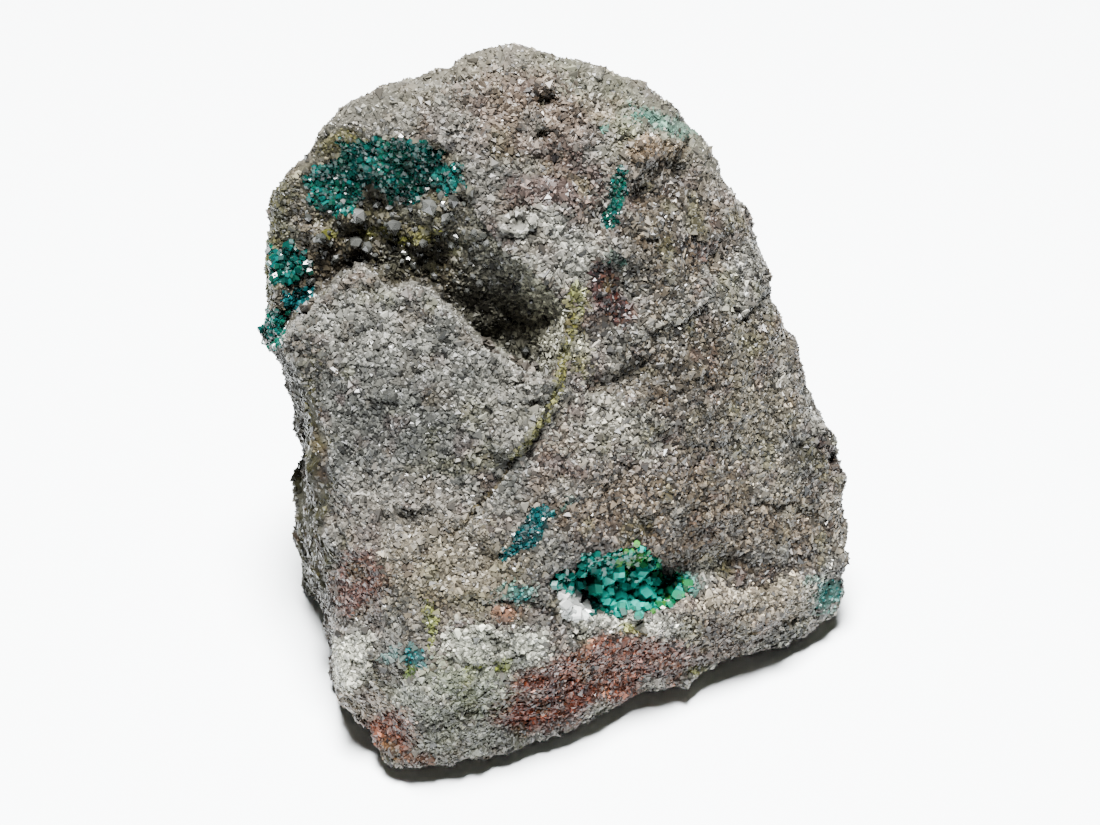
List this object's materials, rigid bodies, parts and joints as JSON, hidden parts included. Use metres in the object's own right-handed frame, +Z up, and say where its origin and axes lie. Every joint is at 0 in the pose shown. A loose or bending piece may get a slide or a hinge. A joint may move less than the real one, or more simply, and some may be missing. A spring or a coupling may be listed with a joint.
{
  "type": "dioptase specimen on quartz rock",
  "caption": "Block of sugary grey and pinkish quartz rock with deep teal dioptase crystal crusts around a hollow and in a small pocket.",
  "frame": {"origin": "middle of the bounding box, at the flat parting face the block stands on", "axes": "+Z up, -Y towards the mineral face, +X to the right of someone who looks at that face"},
  "size_m": [0.0554, 0.0436, 0.0576],
  "materials": {
    "rock": "rough",
    "dioptase": "glossy",
    "pale_quartz": "satin"
  },
  "bodies": {
    "root": {"quartz_rock": "rock", "dioptase_upper_druse": "dioptase", "dioptase_left_druse": "dioptase", "dioptase_left_seam": "dioptase", "dioptase_left_rim": "dioptase", "dioptase_vein": "dioptase", "dioptase_streak": "dioptase", "dioptase_spot": "dioptase", "dioptase_toe_patch": "dioptase", "dioptase_corner_patch": "dioptase", "dioptase_pocket": "dioptase", "pale_quartz_lump": "pale_quartz"}
  },
  "joints": []
}
